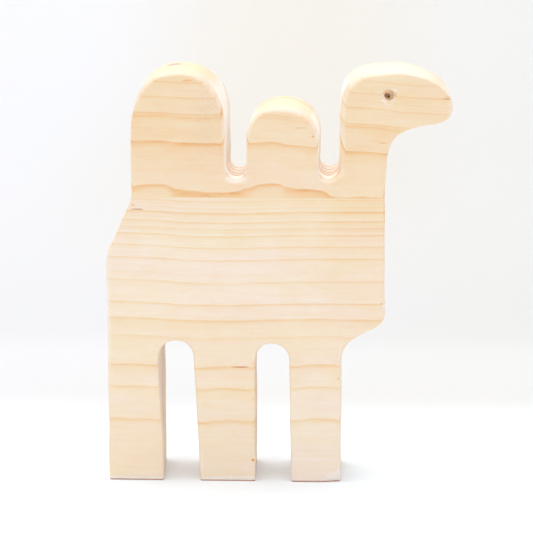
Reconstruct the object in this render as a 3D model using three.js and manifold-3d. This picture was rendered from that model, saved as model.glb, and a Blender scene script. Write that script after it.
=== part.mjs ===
// A two-humped wooden camel, sawn from one edge-glued softwood board.
//
// The board is two staves glued edge to edge. The seam runs level, just under the humps,
// so the sawn figure is an upper stave (humps, neck and head), a lower stave (trunk and
// legs) and the thin film of set glue between them.
//
// Millimetres. +Z is up, +X is the way the camel faces, and the flat face that shows the
// animal's right side points to -Y. The origin is on the ground under the middle.

import * as THREE from 'three';
import { mergeVertices } from 'three/addons/utils/BufferGeometryUtils.js';
import Module from 'manifold-3d';

const wasm = await Module();
wasm.setup();

// Board and seam
const boardThickness = 28;
const seamZ = 104.5;
const glueThickness = 0.25;
const easedEdge = 0.8;       // sanded edge between the flat faces and the sawn rim
const easedCorner = 1.2;     // sanded corner at the sole of a foot

// Rump and back
const rumpX = -61.3;
const rumpBendZ = 81.5;
const rumpSlopeFoot = { x: -58.8, z: 89.5 };
const rumpSlopeTop = { x: -53.1, z: 101.6 };
const backX = -52.2;
const backBendZ = 106;

// Humps and the notches in front of them
const bigHump = { sideZ: 130, topX: -35.6, topZ: 149.5, frontX: -18.6 };
const smallHump = { sideZ: 125.3, topX: 0.9, topZ: 137.2, rearX: -11.3, frontX: 14.1 };
const notchBottomZ = 111.3;
const neckRearX = 21.4;

// Head and throat
const topOfHead = 150;
const napeZ = 135;
const crownX = 41;
const browPull = { x: 60.6, z: 144.6 };
const noseTip = { x: 61.3, z: 137.5 };
const chin = { x: 55, z: 131.1 };
const jawPull = { x: 47, z: 129.8 };
const throatTop = { x: 38.3, z: 119.3 };
const throatPull = { x: 39.4, z: 129.2 };
const throatFoot = { x: 37.6, z: 106.5 };

// Chest and belly
const breast = { x: 38.1, z: 63.5 };
const bellyFront = { x: 34.2, z: 57.4 };
const bellyRear = { x: 27.6, z: 53.9 };
const bellyBendZ = 51;

// Legs and the gaps between them. A gap narrows upwards by its narrowing.
const legTopZ = 44;
const gapSideZ = 45;
const frontLeg = { frontX: 22.6, rearX: 4.8 };
const middleLeg = { frontX: -8.8, rearX: -28.2 };
const rearLegFrontX = -43.2;
const frontGap = { topX: -2.5, topZ: 51.4, narrowing: 0.7 };
const rearGap = { topX: -36.9, topZ: 52.2, narrowing: 2 };

// Eyes, one shallow flat-bottomed hole in each flank, with the drill point's prick in it
const eye = { x: 38.8, z: 141.5, diameter: 3.6, depth: 3, prickDiameter: 1.1, prickDepth: 2 };

// How far the handles of a dome's curves reach towards its corner
const domeReach = 0.62;
const napeReach = 0.74;

const curveSteps = 24;       // straight steps that stand for one curve
const edgeSteps = 2;         // facets across an eased edge

// Draws a quarter dome from the pen's place to (x, z), rising first or levelling first.
function quarterDome(outline, x, z, risesFirst, reach = domeReach) {
  const pen = outline.currentPoint.clone();
  const reachX = (x - pen.x) * reach;
  const reachZ = (z - pen.y) * reach;
  if (risesFirst) {
    outline.bezierCurveTo(pen.x, pen.y + reachZ, x - reachX, z, x, z);
  } else {
    outline.bezierCurveTo(pen.x + reachX, pen.y, x, z - reachZ, x, z);
  }
}

// Draws a notch between two humps: a straight side down, a round bottom, a side up.
function notch(outline, rearX, frontX, endZ) {
  const radius = (frontX - rearX) / 2;
  const centreZ = notchBottomZ + radius;
  outline.lineTo(rearX, centreZ);
  outline.absarc(rearX + radius, centreZ, radius, Math.PI, 2 * Math.PI, false);
  outline.lineTo(frontX, endZ);
}

// Draws one leg's sole, from its front corner to its rear corner.
function sole(outline, frontX, rearX) {
  const down = -Math.PI / 2;
  outline.lineTo(frontX, easedCorner);
  outline.absarc(frontX - easedCorner, easedCorner, easedCorner, 0, down, true);
  outline.lineTo(rearX + easedCorner, 0);
  outline.absarc(rearX + easedCorner, easedCorner, easedCorner, down, -Math.PI, true);
}

// Draws the gap behind a leg, up that leg's rear side and over to the leg behind it.
function legGap(outline, frontX, rearX, gap) {
  outline.lineTo(frontX - gap.narrowing, gapSideZ);
  quarterDome(outline, gap.topX, gap.topZ, true);
  quarterDome(outline, rearX, gapSideZ, false);
}

// The rump, from the rear foot up to the foot of the big hump.
function drawRump(outline) {
  outline.lineTo(rumpX, rumpBendZ);
  outline.quadraticCurveTo(rumpX, 85.5, rumpSlopeFoot.x, rumpSlopeFoot.z);
  outline.lineTo(rumpSlopeTop.x, rumpSlopeTop.z);
  outline.quadraticCurveTo(backX, 103.6, backX, backBendZ);
}

// The two humps, each with the notch in front of it.
function drawHumps(outline) {
  outline.lineTo(backX, bigHump.sideZ);
  quarterDome(outline, bigHump.topX, bigHump.topZ, true);
  quarterDome(outline, bigHump.frontX, bigHump.sideZ, false);
  notch(outline, bigHump.frontX, smallHump.rearX, smallHump.sideZ);
  quarterDome(outline, smallHump.topX, smallHump.topZ, true);
  quarterDome(outline, smallHump.frontX, smallHump.sideZ, false);
  notch(outline, smallHump.frontX, neckRearX, napeZ);
}

// The head, from the nape over the crown and round the nose to the throat.
function drawHead(outline) {
  quarterDome(outline, crownX, topOfHead, true, napeReach);
  outline.bezierCurveTo(crownX + 8, topOfHead, browPull.x, browPull.z, noseTip.x, noseTip.z);
  outline.bezierCurveTo(noseTip.x, noseTip.z - 4, chin.x + 4, chin.z + 0.7, chin.x, chin.z);
  outline.bezierCurveTo(
    jawPull.x, jawPull.z, throatPull.x, throatPull.z, throatTop.x, throatTop.z);
}

// The throat, the chest and the belly's short slope down to the front leg.
function drawChest(outline) {
  outline.lineTo(throatFoot.x, throatFoot.z);
  outline.lineTo(breast.x, breast.z);
  outline.quadraticCurveTo(breast.x, 59.6, bellyFront.x, bellyFront.z);
  outline.lineTo(bellyRear.x, bellyRear.z);
  outline.quadraticCurveTo(frontLeg.frontX, bellyBendZ, frontLeg.frontX, legTopZ);
}

// The side view of the whole figure, drawn clockwise from the rear foot.
function figureOutline() {
  const outline = new THREE.Shape();
  outline.moveTo(rumpX, easedCorner);
  drawRump(outline);
  drawHumps(outline);
  drawHead(outline);
  drawChest(outline);
  sole(outline, frontLeg.frontX, frontLeg.rearX);
  legGap(outline, frontLeg.rearX, middleLeg.frontX, frontGap);
  sole(outline, middleLeg.frontX, middleLeg.rearX);
  legGap(outline, middleLeg.rearX, rearLegFrontX, rearGap);
  sole(outline, rearLegFrontX, rumpX);
  return outline;
}

// Turns a closed geometry into a solid that can be cut.
function solidFrom(geometry) {
  const bare = geometry.clone();
  bare.deleteAttribute('normal');
  bare.deleteAttribute('uv');
  const merged = mergeVertices(bare);
  return new wasm.Manifold(new wasm.Mesh({
    numProp: 3,
    vertProperties: new Float32Array(merged.attributes.position.array),
    triVerts: new Uint32Array(merged.index.array),
  }));
}

// Turns a solid back into a geometry with flat shading.
function geometryFrom(solid) {
  const mesh = solid.getMesh();
  const indexed = new THREE.BufferGeometry();
  indexed.setAttribute('position', new THREE.BufferAttribute(mesh.vertProperties, 3));
  indexed.setIndex(new THREE.BufferAttribute(mesh.triVerts, 1));
  const geometry = indexed.toNonIndexed();
  geometry.computeVertexNormals();
  return geometry;
}

// A round pit drilled at the eyes' place into both flanks, to a depth below each of them.
function drillEyes(board, diameter, depth) {
  const radius = diameter / 2;
  const length = depth + easedEdge;
  let drilled = board;
  for (const side of [-1, 1]) {
    const bit = new THREE.CylinderGeometry(radius, radius, length, 32);
    bit.translate(eye.x, side * (boardThickness / 2 - depth + length / 2), eye.z);
    drilled = drilled.subtract(solidFrom(bit));
  }
  return drilled;
}

// The sawn figure before it is told apart into staves: the outline through the board's
// thickness, with its edges eased and the eyes drilled.
function sawnFigure() {
  const board = new THREE.ExtrudeGeometry(figureOutline(), {
    depth: boardThickness - 2 * easedEdge,
    bevelEnabled: true,
    bevelThickness: easedEdge,
    bevelSize: easedEdge,
    bevelOffset: -easedEdge,
    bevelSegments: edgeSteps,
    curveSegments: curveSteps,
  });
  board.rotateX(Math.PI / 2);
  board.translate(0, boardThickness / 2 - easedEdge, 0);

  const holed = drillEyes(solidFrom(board), eye.diameter, eye.depth);
  return drillEyes(holed, eye.prickDiameter, eye.depth + eye.prickDepth);
}

// A level layer, wide enough to hold the whole board between two heights.
function layer(bottomZ, topZ) {
  const slab = new THREE.BoxGeometry(200, boardThickness * 2, topZ - bottomZ);
  slab.translate(0, 0, (topZ + bottomZ) / 2);
  return solidFrom(slab);
}

function piece(name, solid, colour, roughness) {
  const material = new THREE.MeshStandardMaterial({ color: colour, roughness, metalness: 0 });
  const mesh = new THREE.Mesh(geometryFrom(solid), material);
  mesh.name = name;
  return mesh;
}

const figure = sawnFigure();
const upperStave = figure.intersect(layer(seamZ + glueThickness, topOfHead + 10));
const lowerStave = figure.intersect(layer(-10, seamZ));
const glueFilm = figure.intersect(layer(seamZ, seamZ + glueThickness));

const camel = new THREE.Group();
camel.add(piece('upper_stave', upperStave, '#f3dfc1', 0.72));
camel.add(piece('lower_stave', lowerStave, '#f7e7d0', 0.74));
camel.add(piece('glue_seam', glueFilm, '#e3bf8d', 0.45));

export default camel;
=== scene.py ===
"""A wooden camel sawn from an edge-glued softwood board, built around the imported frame.

The two staves and the glue film are cut from one fine mesh of the whole figure, so they
meet exactly. Lengths are in millimetres until a mesh is made; Blender's own are metres.
"""
import math
from types import SimpleNamespace

import bmesh
import bpy
import numpy as np
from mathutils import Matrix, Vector
from mathutils.geometry import delaunay_2d_cdt


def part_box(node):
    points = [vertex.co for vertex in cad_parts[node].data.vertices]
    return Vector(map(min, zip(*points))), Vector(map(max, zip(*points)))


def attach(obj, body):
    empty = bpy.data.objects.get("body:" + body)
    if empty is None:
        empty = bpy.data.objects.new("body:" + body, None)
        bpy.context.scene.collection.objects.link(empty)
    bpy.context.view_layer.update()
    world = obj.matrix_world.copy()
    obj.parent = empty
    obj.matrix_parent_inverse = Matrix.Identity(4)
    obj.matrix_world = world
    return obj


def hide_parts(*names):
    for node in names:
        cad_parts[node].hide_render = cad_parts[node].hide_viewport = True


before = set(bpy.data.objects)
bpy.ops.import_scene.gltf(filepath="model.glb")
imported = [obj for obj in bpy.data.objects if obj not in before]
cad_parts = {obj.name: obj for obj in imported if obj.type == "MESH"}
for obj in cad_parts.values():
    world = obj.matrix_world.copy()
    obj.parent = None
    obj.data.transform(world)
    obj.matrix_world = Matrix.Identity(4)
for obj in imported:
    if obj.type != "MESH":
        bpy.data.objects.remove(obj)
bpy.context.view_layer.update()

MM = 0.001                    # one millimetre in Blender's metres
BODY = "root"

# Mesh fineness
COLUMN_STEP = 0.5             # along the sawn rim
ROW_STEP = 1.0                # across the rim, from one broad face to the other
EDGE_ROWS = 6                 # rows that round an eased edge
FACE_STEP = 1.15              # between points on the broad faces

# Sizes that follow the frame
BOARD_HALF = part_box("lower_stave")[1].y / MM
SEAM_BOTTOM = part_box("lower_stave")[1].z / MM
SEAM_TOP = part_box("upper_stave")[0].z / MM


# ---------------- helpers for shapes

def smooth_step(low, high, value):
    """0 below low, 1 above high and a smooth rise between them."""
    t = np.clip((value - low) / (high - low), 0.0, 1.0)
    return t * t * (3.0 - 2.0 * t)


def ripple(length, span, count, seed):
    """A closed, seeded, gentle waviness along a rim: a sum of whole-number waves.

    length is the place along the rim, span the rim's whole length, and count the
    (lowest, highest) number of waves in it. The result stays within about 1."""
    random = np.random.default_rng(seed)
    total = np.zeros_like(length)
    weights = 0.0
    for waves in random.integers(count[0], count[1], 9):
        weight = random.uniform(0.4, 1.0)
        phase = random.uniform(0.0, 2.0 * math.pi)
        total += weight * np.sin(2.0 * math.pi * waves * length / span + phase)
        weights += weight
    return 1.6 * total / weights


def section_loops(node, y):
    """The closed loops of (x, z) points where an upright plane at y cuts a CAD node."""
    mesh = bmesh.new()
    mesh.from_mesh(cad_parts[node].data)
    bmesh.ops.remove_doubles(mesh, verts=mesh.verts, dist=1e-7)
    everything = mesh.verts[:] + mesh.edges[:] + mesh.faces[:]
    cut = bmesh.ops.bisect_plane(
        mesh, geom=everything, dist=1e-8, plane_co=(0, y * MM, 0), plane_no=(0, 1, 0))
    neighbours = {}
    for edge in cut["geom_cut"]:
        if isinstance(edge, bmesh.types.BMEdge):
            a, b = edge.verts
            neighbours.setdefault(a, []).append(b)
            neighbours.setdefault(b, []).append(a)
    loops = []
    while neighbours:
        start = next(iter(neighbours))
        loop = [start]
        before, here = None, start
        while True:
            onward = [v for v in neighbours[here] if v is not before]
            before, here = here, onward[0]
            if here is start:
                break
            loop.append(here)
        loops.append(np.array([(v.co.x / MM, v.co.z / MM) for v in loop]))
        for vert in loop:
            del neighbours[vert]
    mesh.free()
    return sorted(loops, key=len, reverse=True)


def stave_rim(loop, seam_z):
    """A stave's outline without its glued edge, running from the rear to the front."""
    on_seam = np.abs(loop[:, 1] - seam_z) < 0.02
    ends = loop[on_seam]
    rear = ends[np.argmin(ends[:, 0])]
    first_free = next(
        i for i in range(len(loop)) if on_seam[i - 1] and not on_seam[i])
    free = np.roll(loop, -first_free, axis=0)
    free = free[: int((~on_seam).sum())]
    if np.abs(free[0] - rear).sum() > np.abs(free[-1] - rear).sum():
        free = free[::-1]
    front = ends[np.argmax(ends[:, 0])]
    return np.vstack([rear, free, front])


# ---------------- the sawn rim

RIM_SOFTNESS = 0.7            # how far the sanding block rounds off the saw's small steps
EASED_FLAT = 0.45             # how far the eased edges are a flat chamfer instead of round


def soften(points, reach):
    """Closed points smoothed along the loop with a bell-shaped weight."""
    steps = np.arange(-6, 7)
    weights = np.exp(-0.5 * (steps * COLUMN_STEP / reach) ** 2)
    weights /= weights.sum()
    return sum(w * np.roll(points, -k, axis=0) for k, w in zip(steps, weights))


def snap_to_seam(points, normals):
    """Puts one column on each edge of the glue film, at the rear and at the front."""
    middle = 0.5 * (SEAM_BOTTOM + SEAM_TOP)
    above = points[:, 1] > middle
    for i in range(len(points)):
        after = (i + 1) % len(points)
        if above[i] != above[after]:
            for k in (i, after):
                points[k, 1] = SEAM_TOP if above[k] else SEAM_BOTTOM
                normals[k] = (np.sign(points[k, 0]), 0.0)


SOLE_CORNER = 1.2             # the frame's corner radius at the soles
SQUARENESS = 5.0              # of the corners here; 2 would be the frame's round ones


def sole_ends(points, corners):
    """Where the flat soles end, as (x, which way the end faces) pairs."""
    flat = np.sort(points[points[:, 1] < 0.01, 0])
    breaks = np.flatnonzero(np.diff(flat) > 2.0)
    rears = flat[np.concatenate([[0], breaks + 1])]
    fronts = flat[np.concatenate([breaks, [-1]])]
    exact = corners[corners[:, 1] < 0.001, 0]
    ends = [(x, -1.0) for x in rears] + [(x, 1.0) for x in fronts]
    return [(exact[np.argmin(np.abs(exact - x))], side) for x, side in ends]


def square_soles(points, corners):
    """Moves the points at the soles' corners outwards, as the saw left them nearly square."""
    for x, side in sole_ends(points, corners):
        away = (points - (x, SOLE_CORNER)) / SOLE_CORNER
        on_corner = (away[:, 0] * side > 0.0) & (away[:, 0] * side < 1.5) & (away[:, 1] < 0.0)
        size = (np.abs(away[on_corner]) ** SQUARENESS).sum(axis=1) ** (1.0 / SQUARENESS)
        points[on_corner] = away[on_corner] / size[:, None] * SOLE_CORNER + (x, SOLE_CORNER)


class Rim:
    """The figure's closed outline as evenly spaced columns, clockwise from the rear seam."""

    def __init__(self):
        upper = stave_rim(section_loops("upper_stave", 0.0)[0], SEAM_TOP)
        lower = stave_rim(section_loops("lower_stave", 0.0)[0], SEAM_BOTTOM)
        corners = np.vstack([upper, lower[::-1], upper[:1]])
        along = np.concatenate([[0.0], np.cumsum(np.hypot(*np.diff(corners, axis=0).T))])
        self.count = round(along[-1] / COLUMN_STEP)
        self.span = along[-1]
        self.along = np.arange(self.count) * self.span / self.count
        even = [np.interp(self.along, along, corners[:, axis]) for axis in (0, 1)]
        self.points = np.column_stack(even)
        square_soles(self.points, corners)
        soft = smooth_step(1.5, 3.0, self.points[:, 1])[:, None]
        self.points += (soften(self.points, RIM_SOFTNESS) - self.points) * soft
        tangent = np.roll(self.points, -1, axis=0) - np.roll(self.points, 1, axis=0)
        tangent /= np.hypot(*tangent.T)[:, None]
        self.normals = np.column_stack([-tangent[:, 1], tangent[:, 0]])
        snap_to_seam(self.points, self.normals)

    def wave(self, count, seed):
        return ripple(self.along, self.span, count, seed)


# Radius of the eased edges that face upwards: x along the humps and the head, mm
TOP_EASING = (
    (-54.0, 2.2), (-47.0, 2.0), (-42.0, 1.3), (-34.0, 1.6), (-24.0, 2.1), (-16.0, 1.7),
    (-8.0, 1.6), (0.0, 2.1), (9.0, 2.2), (17.0, 1.8), (25.0, 2.2), (34.0, 2.1), (43.0, 1.4),
    (50.0, 0.75), (62.0, 0.5))
SIDE_EASING = 0.5             # the same on the upright sides and round the legs
HUMP_SIDE_EXTRA = 1.1         # how much more on the upper sides of the humps
NECK_REAR_EXTRA = 2.3         # and down the rear of the neck


def eased_radius(rim, seed):
    """How far each column's edge was rounded by hand: most on the humps, the crown and
    the neck's rear, least on the trunk, the legs and the nose."""
    x, z = rim.points.T
    on_top = smooth_step(0.1, 0.75, rim.normals[:, 1]) * smooth_step(106.0, 112.0, z)
    top = np.interp(x, *zip(*TOP_EASING))
    hump_side = smooth_step(119.0, 129.0, z) * smooth_step(-30.0, -24.0, x)
    hump_side *= smooth_step(20.0, 16.0, x)
    neck_rear = smooth_step(110.0, 113.0, z) * smooth_step(18.0, 20.0, x)
    neck_rear *= smooth_step(30.0, 26.0, x)
    side = SIDE_EASING + HUMP_SIDE_EXTRA * hump_side + NECK_REAR_EXTRA * neck_rear
    radius = side + (top - side) * on_top
    return radius * (1.0 + 0.14 * rim.wave((25, 90), seed))


# How the hand strayed from the drawn line, mm
WANDER = 0.10                 # of the saw, along the rim
LEAN = 0.13                   # of the saw, across the board
BIG_HUMP_LEAN = 0.4
SMALL_HUMP_LEAN = 0.15
SMALL_HUMP_BULGE = 0.25
SHOULDER_RUB = 0.5            # wood rubbed off the big hump's rear
NOTCH_SLOPE = 0.3             # of the front notch's floor
FOOT_FLARE = 0.8              # of the rear leg's front wall
MIDDLE_LEG_FLARE = 0.3
SAW_PITCH = 1.75              # between the marks of the saw's teeth
SAW_MARK = 0.012              # their height
GAP_MARK = 0.03               # and how much higher they are in the leg gaps


def hand_work(rim, depth):
    """How far the rim stands out from its drawn line at each column and each depth.

    depth is y over half the board, from -1 on the right flank to 1 on the left one."""
    x, z = rim.points.T
    facing_front = smooth_step(0.3, 0.9, rim.normals[:, 0])
    facing_rear = smooth_step(-0.3, -0.8, rim.normals[:, 0])
    facing_up = smooth_step(0.3, 0.9, rim.normals[:, 1])
    sole = smooth_step(-0.8, -0.98, rim.normals[:, 1]) * smooth_step(1.0, 0.4, z)
    leg_gap = smooth_step(53.5, 50.0, z) * (np.abs(x + 20.0) < 25.5)
    rear_leg = leg_gap * facing_front * (x < -30.0)
    middle_leg = leg_gap * facing_front * (x > -30.0) * (x < 0.0)
    hump_front = facing_front * smooth_step(112.0, 120.0, z)
    big_hump = hump_front * (np.abs(x + 18.0) < 6.0)
    small_hump = hump_front * (np.abs(x - 14.0) < 4.0)
    notch_floor = facing_up * smooth_step(116.0, 112.0, z) * (z > 108.0) * (np.abs(x - 17.8) < 5.0)
    shoulder = smooth_step(128.0, 136.0, z) * smooth_step(146.0, 140.0, z)
    shoulder *= facing_rear * (x < -40.0)

    lean = LEAN * rim.wave((10, 36), 12) + BIG_HUMP_LEAN * big_hump + SMALL_HUMP_LEAN * small_hump
    marks = (SAW_MARK + GAP_MARK * leg_gap) * (0.6 + 0.4 * rim.wave((40, 120), 14))
    tooth = 2.0 * math.pi * rim.along / SAW_PITCH + 2.2 * rim.wave((30, 80), 13)
    out = WANDER * rim.wave((18, 60), 11) + lean * depth + marks * np.sin(tooth + 0.9 * depth)
    out += NOTCH_SLOPE * notch_floor * (1.0 + depth) + SMALL_HUMP_BULGE * small_hump
    out -= SHOULDER_RUB * shoulder
    flare = FOOT_FLARE * smooth_step(44.0, 12.0, z) * (1.0 - depth)
    out += rear_leg * (flare + 0.2 * (1.0 + depth))
    out += MIDDLE_LEG_FLARE * middle_leg * (1.0 - depth)
    return out * (1.0 - sole)


def eased_profile():
    """The section of an eased edge of radius 1, part round and part flat, as (depth below
    the broad face, inset from the rim) from the face to the rim."""
    steps = np.linspace(0.0, 1.0, EDGE_ROWS + 1)
    angle = 0.5 * math.pi * steps
    sink = EASED_FLAT * steps + (1.0 - EASED_FLAT) * (1.0 - np.cos(angle))
    inset = EASED_FLAT * (1.0 - steps) + (1.0 - EASED_FLAT) * (1.0 - np.sin(angle))
    return list(zip(sink, inset))


def rim_grid(rim):
    """The rim's points, row by row from the front edge to the back: (rows, columns, 3)."""
    front = eased_radius(rim, 21)
    back = eased_radius(rim, 22)
    turn = eased_profile()
    middle_rows = round(2.0 * BOARD_HALF / ROW_STEP)
    rows = []
    for sink, inset in turn:
        rows.append((-BOARD_HALF + front * sink, front * inset))
    for share in np.linspace(0.0, 1.0, middle_rows)[1:-1]:
        y = (1.0 - share) * (-BOARD_HALF + front) + share * (BOARD_HALF - back)
        rows.append((y, np.zeros_like(front)))
    for sink, inset in turn[::-1]:
        rows.append((BOARD_HALF - back * sink, back * inset))
    grid = np.zeros((len(rows), rim.count, 3))
    for k, (y, inset) in enumerate(rows):
        out = hand_work(rim, y / BOARD_HALF) - inset
        flat = rim.points + rim.normals * out[:, None]
        grid[k] = np.column_stack([flat[:, 0], y, np.maximum(flat[:, 1], 0.0)])
    return grid


# ---------------- the drilled eyes

EYE_COLUMNS = 72
TORN_RIM = 2.65               # mean radius of a hole's torn rim
TORN_DEPTH = 0.95
FUNNEL = (0.0, 0.1, 0.22, 0.36, 0.52, 0.7, 0.86, 1.0)
EYE_SHALLOW = 1.3             # depth of the torn bottom at its upper side
EYE_DEEP = 2.3                # and at its lower side
PRICK_PLACE = (-0.05, -0.95)  # where the drill's point went in, from the hole's middle
PRICK_RADIUS = 0.42
PRICK_ROWS = ((-0.2, 0.85), (0.3, 0.7), (1.0, 0.4))   # below the eye's bottom, share of radius


def eye_pit(side, seed):
    """One eye hole as rows of points from the flank to the drill point's prick:
    (rows, columns, 3), and the hole's centre."""
    loop = section_loops("upper_stave", side * (BOARD_HALF - 1.5))[1]
    centre = 0.5 * (loop.min(axis=0) + loop.max(axis=0))
    drill = 0.25 * (np.ptp(loop[:, 0]) + np.ptp(loop[:, 1]))
    angle = np.arange(EYE_COLUMNS) * 2.0 * math.pi / EYE_COLUMNS
    around = np.column_stack([np.cos(angle), np.sin(angle)])
    coarse = ripple(angle, 2.0 * math.pi, (2, 9), seed)
    fine = ripple(angle, 2.0 * math.pi, (9, 24), seed + 1)
    wide = TORN_RIM + 0.25 * coarse + 0.16 * fine + 0.3 * np.cos(angle + 2.4)
    deep = TORN_DEPTH * (1.0 + 0.25 * coarse + 0.15 * fine)

    rows = []
    for share in FUNNEL:
        torn = 0.09 * fine * math.sin(math.pi * share)
        radius = drill + (wide - drill) * (1.0 - share) ** 1.5 + torn
        rows.append((around * radius[:, None], deep * share))
    for share in np.linspace(1.0, 0.0, 9)[1:-1]:
        middle = np.array(PRICK_PLACE) * (1.0 - share)
        radius = PRICK_RADIUS + (drill - PRICK_RADIUS) * share
        flat = middle + around * radius
        slope = 0.5 - 0.5 * flat[:, 1] / drill
        depth = EYE_SHALLOW + (EYE_DEEP - EYE_SHALLOW) * slope
        depth += 0.16 * np.sin(5.0 * flat[:, 0] + 1.0) * np.sin(4.0 * flat[:, 1])
        rows.append((flat, depth))
    for sink, width in PRICK_ROWS:
        flat = np.array(PRICK_PLACE) + around * PRICK_RADIUS * width
        rows.append((flat, np.full(EYE_COLUMNS, EYE_DEEP + sink)))
    grid = np.zeros((len(rows), EYE_COLUMNS, 3))
    for k, (flat, depth) in enumerate(rows):
        place = centre + flat
        grid[k] = np.column_stack([place[:, 0], side * (BOARD_HALF - depth), place[:, 1]])
    return grid, centre


# ---------------- the broad faces

# Places that need a finer mesh: rear x, bottom z, front x, top z, step
FINE_PATCHES = (
    (-30.5, 120.5, -20.5, 146.5, 0.5),      # torn fibres on the big hump
    (-62.0, 0.0, 23.0, 5.5, 0.5),           # the soles' sanded facets
    (33.5, 61.0, 39.0, 69.0, 0.5),          # the chipped breast
    (34.5, 137.5, 43.0, 145.5, 0.45),       # round the eye
)


def inside(points, loop):
    """Which points lie inside a closed loop."""
    x, z = points.T
    ax, az = loop.T
    bx, bz = np.roll(loop, -1, axis=0).T
    result = np.zeros(len(points), bool)
    for x0, z0, x1, z1 in zip(ax, az, bx, bz):
        if z0 != z1:
            crosses = (z0 > z) != (z1 > z)
            result ^= crosses & (x < (x1 - x0) * (z - z0) / (z1 - z0) + x0)
    return result


def gap_to(points, others):
    """Each point's distance to the nearest of some others."""
    nearest = np.full(len(points), 1e9)
    for start in range(0, len(others), 200):
        part = others[start:start + 200]
        offsets = points[:, None, :] - part[None, :, :]
        nearest = np.minimum(nearest, np.sqrt((offsets ** 2).sum(axis=2)).min(axis=1))
    return nearest


def scattered(corners, step, random):
    """A slightly jittered triangular grid of points in a rectangle."""
    x0, z0, x1, z1 = corners
    rows = np.arange(z0, z1, step * 0.87)
    points = []
    for k, z in enumerate(rows):
        xs = np.arange(x0 + 0.5 * step * (k % 2), x1, step)
        points.append(np.column_stack([xs, np.full(len(xs), z)]))
    points = np.vstack(points)
    return points + random.uniform(-0.13, 0.13, points.shape) * step


def in_patch(points, patch):
    x, z = points.T
    return (x > patch[0]) & (x < patch[2]) & (z > patch[1]) & (z < patch[3])


def groove_axes(start, end):
    """The way along a groove, the way across it, and its length."""
    onward = np.subtract(end, start)
    length = np.hypot(*onward)
    onward /= length
    return onward, np.array([-onward[1], onward[0]]), length


def groove_points(start, end, width):
    """Points in fine rows along a groove, so that it can be cut cleanly."""
    onward, sideways, length = groove_axes(start, end)
    rows = []
    for offset in (-2.4, -1.2, -0.5, 0.0, 0.5, 1.2, 2.4):
        for place in np.arange(-0.4, length + 0.41, 0.22):
            rows.append(start + onward * place + sideways * offset * width)
    return np.array(rows)


def face_mesh(rim_loop, eye_loop, seam_ends, grooves, seed):
    """Triangles that fill one broad face between its rim and the eye.

    Returns the points inside the face, and triangles whose numbers run through the rim's
    points, then the eye's, then the inner ones."""
    random = np.random.default_rng(seed)
    low, high = rim_loop.min(axis=0), rim_loop.max(axis=0)
    base = scattered((*low, *high), FACE_STEP, random)
    for patch in FINE_PATCHES:
        base = base[~in_patch(base, patch)]
    groups = [base] + [scattered(p[:4], p[4], random) for p in FINE_PATCHES]
    loose = np.vstack(groups)
    cut = [groove_points(*groove[:3]) for groove in grooves]
    fixed = np.vstack(cut) if cut else np.zeros((0, 2))
    if len(fixed):
        loose = loose[gap_to(loose, fixed) > 0.3]
    loose = np.vstack([loose, fixed])
    middle = 0.5 * (SEAM_BOTTOM + SEAM_TOP)
    loose = loose[np.abs(loose[:, 1] - middle) > 0.55]
    loose = loose[inside(loose, rim_loop) & ~inside(loose, eye_loop)]
    border = np.vstack([rim_loop, eye_loop])
    loose = loose[gap_to(loose, border) > 0.28]

    seam_x = np.arange(-51.0, 36.6, 1.0)
    seam_rows = [np.column_stack([seam_x, np.full(len(seam_x), z)])
                 for z in (SEAM_BOTTOM, SEAM_TOP)]
    first_seam = len(border)
    points = np.vstack([border, *seam_rows, loose])

    n_rim, n_eye = len(rim_loop), len(eye_loop)
    edges = [(i, (i + 1) % n_rim) for i in range(n_rim)]
    edges += [(n_rim + i, n_rim + (i + 1) % n_eye) for i in range(n_eye)]
    for row, (rear, front) in enumerate(seam_ends):
        first = first_seam + row * len(seam_x)
        chain = [rear, *range(first, first + len(seam_x)), front]
        edges += list(zip(chain, chain[1:]))
    _, _, faces, origin, _, _ = delaunay_2d_cdt(
        [Vector(p) for p in points], edges, [], 0, 1e-6, True)
    if any(len(o) != 1 for o in origin):
        raise RuntimeError("two points of a broad face fell together")
    number = np.array([o[0] for o in origin])
    triangles = number[np.array([f for f in faces if len(f) == 3])]
    centres = points[triangles].mean(axis=1)
    keep = inside(centres, rim_loop) & ~inside(centres, eye_loop)
    return points[len(border):], triangles[keep]


# ---------------- wear and flaws

# Short checks and resin cracks on the right flank, along the grain: start, end, width, depth
GROOVES = (
    ((-51.7, 100.35), (-48.3, 100.15), 0.15, 0.2),
    ((-16.6, 42.75), (-11.1, 42.85), 0.15, 0.22),
    ((57.5, 140.35), (60.5, 140.25), 0.13, 0.22),
)

# Flat facets rubbed off the soles' lower edges: from x to x, a point on the facet, and the
# way it faces
FACETS = (
    ((-62.0, -42.0), (-52.0, -14.0, 1.3), (0.0, -1.0, -0.28)),
    ((-29.0, -8.0), (-18.0, -14.0, 1.8), (0.008, -1.0, -0.25)),
    ((4.0, 24.0), (18.5, -14.0, 2.8), (0.22, -1.0, -0.33)),
    ((4.0, 24.0), (14.0, -14.0, 0.9), (0.0, -1.0, -0.3)),
)

# Bites out of an edge: centre, reach along x, y and z, and how far the wood went inwards
CHIPS = (
    ((38.1, -14.0, 65.6), (1.3, 0.9, 1.5), (-0.45, 0.35, 0.0)),
    ((37.9, -13.8, 67.4), (0.7, 0.7, 0.6), (-0.35, 0.3, 0.0)),
    ((22.5, -13.8, 39.2), (0.6, 0.7, 0.8), (-0.25, 0.2, 0.0)),
    ((-9.0, -13.8, 31.0), (0.5, 0.6, 0.9), (-0.2, 0.2, 0.0)),
    ((61.2, -12.6, 139.6), (0.6, 1.4, 0.5), (-0.4, 0.0, 0.0)),
)

TORN_PATCH = (-29.0, 121.5, -21.5, 145.0)  # rear x, bottom z, front x, top z


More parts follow.
